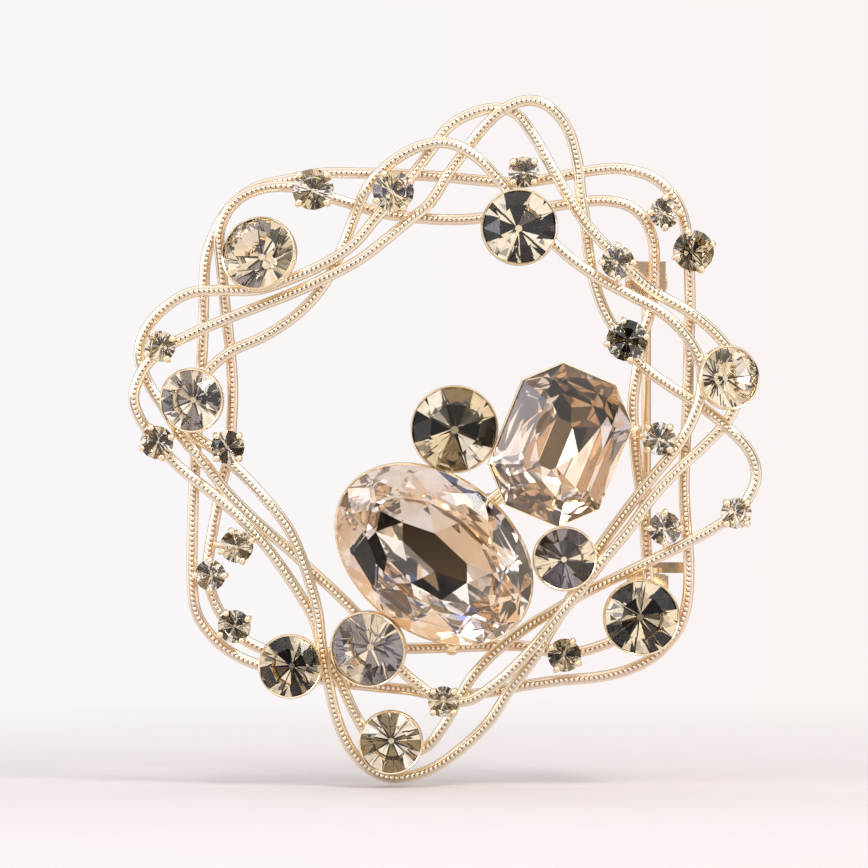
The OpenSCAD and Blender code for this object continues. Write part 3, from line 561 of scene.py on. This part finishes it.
def round_cup(crystal_node, cup_node):
    seat, d = seat_of(crystal_node)
    rim, deep = d / 2 + CUP_WALL, PAVILION * d + CUP_FLOOR
    section = [(0, -deep), (0.25 * d, -deep), (0.27 * d, -deep + 0.04), (rim - 0.02, -0.1 * d),
               (rim, -0.06 * d), (rim, 0.02 * d), (rim - 0.04, 0.04 * d), (rim - 0.10, 0.05 * d),
               (d / 2 - 0.02, 0.042 * d), (d / 2 + 0.01, 0.03 * d), (d / 2 + 0.012, -0.01 * d),
               (0.325 * d, -0.205 * d), (0.03 * d, -0.405 * d), (0, -0.405 * d)]
    bm = bmesh.new()
    turn_on_lathe(bm, section, 72)
    bmesh.ops.remove_doubles(bm, verts=bm.verts, dist=0.0005)
    bmesh.ops.recalc_face_normals(bm, faces=bm.faces)
    bmesh.ops.transform(bm, matrix=MM @ seat, verts=bm.verts)
    return make_piece(bm, "spun_" + cup_node, [setting_plate], [cup_node],
                      crease=35)


round_nodes = sorted(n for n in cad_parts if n.startswith("crystal_")) + ["centre_crystal"]
for number, node in enumerate(round_nodes):
    round_crystal(node, 20 + number)
    cup = node.replace("crystal_", "cup_").replace("centre_crystal", "centre_cup")
    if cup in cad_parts:
        round_cup(node, cup)
print(len(round_nodes), "round crystals")

# %% [markdown]
# The small crystals are held by four claws on a little cone of metal. A claw is a round prong
# whose end is pushed over the girdle and filed to a bright bead. Where no wire passes right
# under a cone, a peg joins it to the nearest one.

# %% Build the claw settings, one piece for each size
CLAW_TURN = {"top_left": 45, "top": 30, "right_shoulder": 20, "right_inside": 10,
             "right_strand": 0, "left_point": 20, "left_inside": 45, "right_cross": 45,
             "right_lower_inside": 0, "bottom_right": 60, "lower_left_back": 30,
             "left_lower_inside": 20, "top_back": 45, "top_right_back": 0, "left_shoulder": 30,
             "right_point": 45, "bottom_cross": 45, "left_lower_back": 0}
PEG_END = {"right_inside": (16.5, 8.5), "right_cross": (16, 0.3),
           "right_lower_inside": (16.8, -7.5), "left_lower_inside": (-19.7, -8.7),
           "top_right_back": (19.7, 19.2)}
CLAW_FOOT, CLAW_TIP, PEG = 0.20, 0.17, 0.29  # radii
BEAD_TILT, BEAD = 35, (0.33, 0.29, 0.23, 1)


def claw_settings(size_name, least, most):
    bm = bmesh.new()
    for stone, turn in CLAW_TURN.items():
        seat, d = seat_of("crystal_" + stone)
        if not least < d < most:
            continue
        deep = PAVILION * d + CUP_FLOOR
        section = [(0, -deep), (0.25 * d, -deep), (0.27 * d, -deep + 0.05),
                   (0.45 * d, -0.16 * d), (0.45 * d, -0.10 * d), (0.41 * d, -0.09 * d),
                   (0.10 * d, -0.37 * d), (0, -0.385 * d)]
        placing = MM @ seat
        before = set(bm.verts)
        turn_on_lathe(bm, section, 40)
        bmesh.ops.transform(bm, matrix=placing, verts=[v for v in bm.verts if v not in before])
        for quarter in range(4):
            prong = placing @ Matrix.Rotation(math.radians(turn + 90 * quarter), 4, "Z")
            elbow = d / 2 + 0.07
            add_rod(bm, (0.40 * d, 0, -0.30 * d), (elbow, 0, -0.02), CLAW_FOOT, CLAW_TIP, prong, 12)
            add_rod(bm, (elbow, 0, -0.04), (0.475 * d, 0, 0.12 * d), CLAW_TIP, CLAW_FOOT, prong, 12)
            bmesh.ops.create_uvsphere(
                bm, u_segments=14, v_segments=9, radius=1.0,
                matrix=prong @ Matrix.Translation((0.465 * d, 0, 0.115 * d))
                @ Matrix.Rotation(math.radians(BEAD_TILT), 4, "Y") @ Matrix.Diagonal(BEAD))
        if stone in PEG_END:
            foot = WORN.inverted() @ (placing @ Vector((0, 0, 0.1 - deep)))
            add_rod(bm, foot, (*PEG_END[stone], BACK_Z), PEG, PEG, WORN)
    bmesh.ops.remove_doubles(bm, verts=bm.verts, dist=1e-7)
    bmesh.ops.recalc_face_normals(bm, faces=bm.faces)
    print(size_name, "claw settings:", len(bm.faces), "faces")
    return make_piece(bm, "filed_claws_" + size_name, [setting_plate],
                      ["claw_settings_" + size_name], crease=40)


claw_settings("large", 3.3, 3.9)
claw_settings("medium", 2.8, 3.1)
claw_settings("small", 2.4, 2.8)

# %% [markdown]
# ### The oval and the octagon
# Both are fancy stones of pale peach glass. The oval has a brilliant cut stretched along its
# length, and the octagon a step cut with long bevels. They lie turned and leaning in the CAD,
# so each is cut flat and then set with the same turn and lean.

# %% Set a fancy crystal
def leaning(place, toward, lean, turn):
    spin = Matrix.Rotation(math.radians(toward), 4, "Z")
    tip = Matrix.Rotation(math.radians(lean), 4, "Y")
    return (Matrix.Translation(place) @ spin @ tip @ spin.inverted()
            @ Matrix.Rotation(math.radians(turn), 4, "Z"))


# peach tones with painted light: dark painted reflections, white painted highlights, a blue painted
# flash of fire and lilac painted reflections
PEACH_AND_PAINTED_LIGHT = ["#241B0C", "#6B5636", "#C7A47C", "#F0D6B6", "#FCF0DF", "#FFFFFF", "#FFFAF6", "#3F548C",
         "#F4F2FA"]
TABLE_BACK_TINT = 1


# %% Cut and set the oval
OVAL_PLACE, OVAL_LEAN, OVAL_TURN = (-1.0, -9.5, 9.3), (240, 5), -38


OVAL_LENGTH, OVAL_WIDTH, BOWL_WALL = 18.0, 13.0, 0.09


def oval_ring(corners, inset, height, turn=0.0):
    return corners, OVAL_LENGTH / 2 - inset, OVAL_WIDTH / 2 - inset, height, turn


def region_chooser(seed, turn, regions):
    """Deals each back facet a tint from the wheel of the nearest region of the face: the painted
    reflections and highlights are placed region by region.
    """
    draw = random.Random(seed)
    c, s = math.cos(math.radians(turn)), math.sin(math.radians(turn))

    def chooser(face):
        middle = face.calc_center_median()
        if face.normal.z < -0.995:
            return TABLE_BACK_TINT
        x, y = middle.x * c - middle.y * s, middle.x * s + middle.y * c
        wheel = min(regions, key=lambda r: (r[0] - x) ** 2 + (r[1] - y) ** 2)[2]
        return draw.choice(wheel)
    return chooser


# where on the oval the painted reflections and highlights go: a centre in mm and a wheel of tints
OVAL_REGIONS = [(-4.5, 4.5, (6, 4, 5, 6, 5)), (2.0, 5.0, (7, 5, 8)), (-0.5, 6.2, (5, 6, 5)),
                (5.5, 2.2, (5, 5, 5)), (-1.8, 0.4, (5, 5, 6)), (-4.6, 0.8, (0, 4, 5)),
                (2.0, -3.2, (0, 0, 5)), (2.2, 1.6, (3, 4, 3)), (6.0, -3.5, (3, 5, 6, 4)),
                (-3.5, -4.5, (4, 6, 5, 3, 5)), (1.5, -6.5, (8, 4, 5, 6))]
bm = cut_crystal([oval_ring(12, 2.6, 2.2), oval_ring(12, 1.25, 1.5, 15), oval_ring(24, 0, 0.4),
                  oval_ring(24, 0, 0), oval_ring(12, 1.7, -1.78, 15), oval_ring(12, 3.3, -2.98),
                  oval_ring(6, 5.2, -3.85, 15)])
foil_the_back(bm, PEACH_AND_PAINTED_LIGHT, region_chooser(7, OVAL_TURN, OVAL_REGIONS))
print("oval:", len(bm.faces), "facets")
oval_set = WORN @ leaning(OVAL_PLACE, *OVAL_LEAN, OVAL_TURN)
bmesh.ops.transform(bm, verts=bm.verts, matrix=oval_set)
make_piece(bm, "oval_stone", [peach_glass, peach_foil_and_reflections], ["oval_crystal"])

# %% [markdown]
# Each fancy crystal sits in a thin bowl of sheet metal. The bowl is the hull of slightly wider
# rings with its top left open and a wall added inwards.

# %% Raise a bowl round a fancy crystal
def bowl(bm, top, name, placing, replaced):
    lid = [f for f in bm.faces if f.calc_center_median().z > top - 0.01 and f.normal.z > 0.9]
    bmesh.ops.delete(bm, geom=lid, context="FACES_ONLY")
    bmesh.ops.recalc_face_normals(bm, faces=bm.faces)
    bmesh.ops.solidify(bm, geom=bm.faces, thickness=BOWL_WALL)
    bmesh.ops.transform(bm, matrix=placing, verts=bm.verts)
    return make_piece(bm, name, [setting_plate], [replaced], crease=30)


bowl(cut_crystal([oval_ring(48, 0.02, 0.42), oval_ring(48, -0.08, 0.32),
                  oval_ring(48, -0.14, 0.1), oval_ring(48, -0.13, -0.1),
                  oval_ring(48, 1.35, -1.95), oval_ring(48, 2.95, -3.2),
                  oval_ring(48, 4.9, -4.12)]), 0.42, "oval_bowl", oval_set, "oval_setting")

# %% Cut and set the octagon
OCTAGON_PLACE, OCTAGON_LEAN, OCTAGON_TURN = (9.5, -0.4, 9.9), (-10, 12), 67.5


def step_cut(levels, length=12.6, width=10.0, corner=2.6):
    """Hull of octagons: each level is an inset, a height and whether it uses mid-edge points."""
    bm = bmesh.new()
    for inset, height, halfway in levels:
        a, b = length / 2 - inset, width / 2 - inset
        cut = max(0.3, corner - inset * 0.586)
        ring = [Vector((x, y, height)) for x, y in (
            (a, b - cut), (a - cut, b), (cut - a, b), (-a, b - cut),
            (-a, cut - b), (cut - a, -b), (a - cut, -b), (a, cut - b))]
        for here, after in zip(ring, ring[1:] + ring[:1]):
            bm.verts.new((here + after) / 2 if halfway else here)
    return hull_of(bm)


# where on the octagon the painted reflections and highlights go: a centre in mm and a wheel of
# tints
OCTAGON_REGIONS = [(-3.4, 2.5, (8, 6, 5, 8)), (-4.2, -1.5, (8, 6, 4, 8)), (2.2, 2.8, (1, 0, 2)),
                   (0.0, 5.5, (4, 3, 5)), (-0.3, 0.3, (3, 4, 3, 5)), (1.4, -2.2, (3, 2, 4)),
                   (0.0, -5.0, (4, 5, 3, 6)), (4.4, 1.2, (4, 8, 3)), (4.0, -3.0, (4, 2, 5))]
bm = step_cut([(2.0, 2.1, False), (1.0, 1.35, False), (0, 0.4, False), (0, 0, False),
               (1.1, -1.5, True), (2.2, -2.62, False), (3.0, -3.4, True), (4.2, -4.1, False)])
foil_the_back(bm, PEACH_AND_PAINTED_LIGHT, region_chooser(3, OCTAGON_TURN, OCTAGON_REGIONS))
print("octagon:", len(bm.faces), "facets")
octagon_set = WORN @ leaning(OCTAGON_PLACE, *OCTAGON_LEAN, OCTAGON_TURN)
bmesh.ops.transform(bm, verts=bm.verts, matrix=octagon_set)
make_piece(bm, "octagon_stone", [peach_glass, peach_foil_and_reflections], ["octagon_crystal"])
bowl(step_cut([(-0.13, 0.12, False), (-0.13, -0.1, False), (0.7, -1.7, False),
               (1.9, -2.95, False), (2.8, -3.75, False), (3.9, -4.42, False)]), 0.12,
     "octagon_bowl", octagon_set, "octagon_setting")

# %% [markdown]
# Where the oval and the octagon meet, one thick claw stands on the bars behind and is pushed
# over both edges. It is a tapered prong and two short fingers, each with a rounded end.

# %% Stand the claw between the two fancy crystals
bm = bmesh.new()
CORNER = (3.6, -4.8)
add_rod(bm, (*CORNER, 4.9), (*CORNER, 10.1), 0.36, 0.26, WORN, ball=True)
for fingertip in ((2.85, -5.9, 10.45), (4.4, -4.15, 10.5)):
    add_rod(bm, (*CORNER, 10.0), fingertip, 0.26, 0.2, WORN, ball=True)
bmesh.ops.recalc_face_normals(bm, faces=bm.faces)
make_piece(bm, "corner_claw", [setting_plate], crease=40)

# %% [markdown]
# ## Settings, pin and catch
# The bars, the pin and the catch already have their right shape in the CAD, because they were
# turned, bent and drilled there to the sizes that make them fit. They keep that shape and get
# plated metal.

# %% Plate the CAD pieces that stay
KEPT = {"centre_frame": setting_plate, "pin_joint": pin_plate, "joint_rivet": pin_plate,
        "pin_stem": pin_plate, "catch_housing": pin_plate, "catch_sleeve": pin_plate}
for node, finish in KEPT.items():
    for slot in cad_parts[node].material_slots:
        slot.material = finish
print("plated", len(KEPT), "CAD pieces")

# %% [markdown]
# ## Studio
# A pale floor, a big soft light on each side and a pale room round it. Polished metal and glass
# show the room more than the lamps, so the room has a few darker cards: without them gold looks
# like chalk and crystal like paper.

# %% Pale floor
low, middle = cad_low, (cad_low + cad_high) / 2
FLOOR_RADIUS, FLOOR_GAP = 0.6, 0.0003
bm = bmesh.new()
bmesh.ops.create_circle(bm, cap_ends=True, segments=64, radius=FLOOR_RADIUS,
                        matrix=Matrix.Translation((middle.x, middle.y, low.z - FLOOR_GAP)))
mesh = bpy.data.meshes.new("floor")
bm.to_mesh(mesh)
bm.free()
floor = bpy.data.objects.new("floor", mesh)
bpy.context.scene.collection.objects.link(floor)
paper, tree, shader = new_material("matt_white_paper")
place = add_node(tree, "ShaderNodeTexCoord").outputs["Object"]
fibre = add_node(tree, "ShaderNodeTexNoise", {"Scale": 300.0, "Detail": 3.0}, {"Vector": place})
shade = add_node(tree, "ShaderNodeMix", {"A": linear("#D0CDCE"), "B": linear("#D6D3D4")},
                 {"Factor": fibre.outputs["Fac"]}, data_type="RGBA")
tree.links.new(shade.outputs["Result"], shader.inputs["Base Color"])
shader.inputs["Roughness"].default_value = 0.9
away = add_node(tree, "ShaderNodeVectorMath", {1: (middle.x, middle.y, low.z)}, {0: place},
                operation="DISTANCE")
fade = add_node(tree, "ShaderNodeMapRange", {"From Min": 0.03, "From Max": 0.16},
                {"Value": away.outputs["Value"]}, interpolation_type="SMOOTHSTEP")
clear = add_node(tree, "ShaderNodeBsdfTransparent")
blend = add_node(tree, "ShaderNodeMixShader", None, {0: fade.outputs["Result"],
                                                     1: shader.outputs[0], 2: clear.outputs[0]})
tree.links.new(blend.outputs[0], tree.nodes["Material Output"].inputs["Surface"])
mesh.materials.append(paper)
print("floor at", round(1000 * low.z, 1), "mm")

# %% Pale room with a few dark cards
def card(tree, direction, toward, inner, outer):
    """1 inside a cone round toward, 0 outside it, with a soft edge: cosines of half angles."""
    dot = add_node(tree, "ShaderNodeVectorMath", {1: Vector(toward).normalized()},
                   {0: direction}, operation="DOT_PRODUCT")
    return add_node(tree, "ShaderNodeMapRange",
                    {"From Min": math.cos(math.radians(outer)),
                     "From Max": math.cos(math.radians(inner))},
                    {"Value": dot.outputs["Value"]}, interpolation_type="SMOOTHSTEP")


ROOM_GAIN = 1.3  # how much brighter the room is for the metal than it looks behind the brooch
world = bpy.data.worlds.new("studio_room")
bpy.context.scene.world = world
world.use_nodes = True
tree = world.node_tree
tree.nodes.clear()
direction = add_node(tree, "ShaderNodeTexCoord").outputs["Generated"]
level = None
CARDS = [((-0.05, -1.0, -0.12), 9, 17, 0.06), ((0.55, -0.75, 0.35), 10, 18, 0.12),
         ((-0.6, -0.7, -0.3), 10, 20, 0.15), ((0.2, -0.6, -0.8), 14, 26, 0.25),
         ((-0.9, 0.1, 0.5), 12, 24, 0.2), ((0.95, 0.2, 0.1), 14, 24, 0.25),
         ((0.1, 1.0, 0.1), 25, 62, 0.32)]
for toward, inner, outer, brightness in CARDS:
    inside = card(tree, direction, toward, inner, outer).outputs["Result"]
    fade = add_node(tree, "ShaderNodeMapRange", {"To Min": 1.0, "To Max": brightness},
                    {"Value": inside}).outputs["Result"]
    level = fade if level is None else add_node(
        tree, "ShaderNodeMath", None, {0: level, 1: fade}, operation="MULTIPLY").outputs[0]
left_right = add_node(tree, "ShaderNodeSeparateXYZ", None, {0: direction})
side = add_node(tree, "ShaderNodeMapRange", {"From Min": -0.08, "From Max": 0.08},
                {"Value": left_right.outputs["X"]})
room = add_node(tree, "ShaderNodeMix", {"A": linear("#FAF7F9"), "B": linear("#FAF4F1")},
                {"Factor": side.outputs["Result"]}, data_type="RGBA")
seen = add_node(tree, "ShaderNodeBackground", {"Strength": 1.0},
                {"Color": room.outputs["Result"]})
bright = add_node(tree, "ShaderNodeMath", {1: ROOM_GAIN}, {0: level}, operation="MULTIPLY")
lit = add_node(tree, "ShaderNodeBackground", None,
               {"Color": room.outputs["Result"], "Strength": bright.outputs[0]})
ray = add_node(tree, "ShaderNodeLightPath")
both = add_node(tree, "ShaderNodeMixShader", None,
                {0: ray.outputs["Is Camera Ray"], 1: lit.outputs[0], 2: seen.outputs[0]})
add_node(tree, "ShaderNodeOutputWorld", None, {"Surface": both.outputs[0]})
print(len(CARDS), "dark cards in the room")

# %% Two soft lights
def soft_light(name, place, size, power, tint):
    lamp = bpy.data.lights.new(name, "AREA")
    lamp.shape, lamp.size, lamp.energy, lamp.color = "DISK", size, power, linear(tint)[:3]
    holder = bpy.data.objects.new(name, lamp)
    holder.location = middle + Vector(place)
    holder.rotation_euler = (middle - holder.location).to_track_quat("-Z", "Y").to_euler()
    bpy.context.scene.collection.objects.link(holder)
    return holder


soft_light("key_softbox", (0.18, -0.22, 0.30), 0.16, 0.8, "#FFF8EE")
soft_light("fill_softbox", (-0.30, -0.20, 0.12), 0.20, 0.35, "#F6F4FF")
bpy.context.scene.view_settings.view_transform = "Standard"
bpy.context.scene.cycles.glossy_bounces = 8
bpy.context.scene.cycles.transmission_bounces = 16
bpy.context.scene.cycles.max_bounces = 20

# %% [markdown]
# ## Camera
# A long lens in front of the face, level with it, so that the wreath keeps its proportions.

# %% Place the camera
FIELD_MM, DISTANCE = 72.33, 0.45
camera_data = bpy.data.cameras.new("camera")
camera_data.lens = camera_data.sensor_width * DISTANCE / (FIELD_MM / 1000)
camera = bpy.data.objects.new("camera", camera_data)
aim = WORN @ Vector((-1.0, 0.5, 8.0))
camera.location = aim + Vector((0, -DISTANCE, 0))
camera.rotation_euler = (math.radians(90), 0, 0)
camera_data.clip_start, camera_data.clip_end = 0.01, 10
bpy.context.scene.collection.objects.link(camera)
bpy.context.scene.camera = camera
print("lens", round(camera_data.lens), "mm")
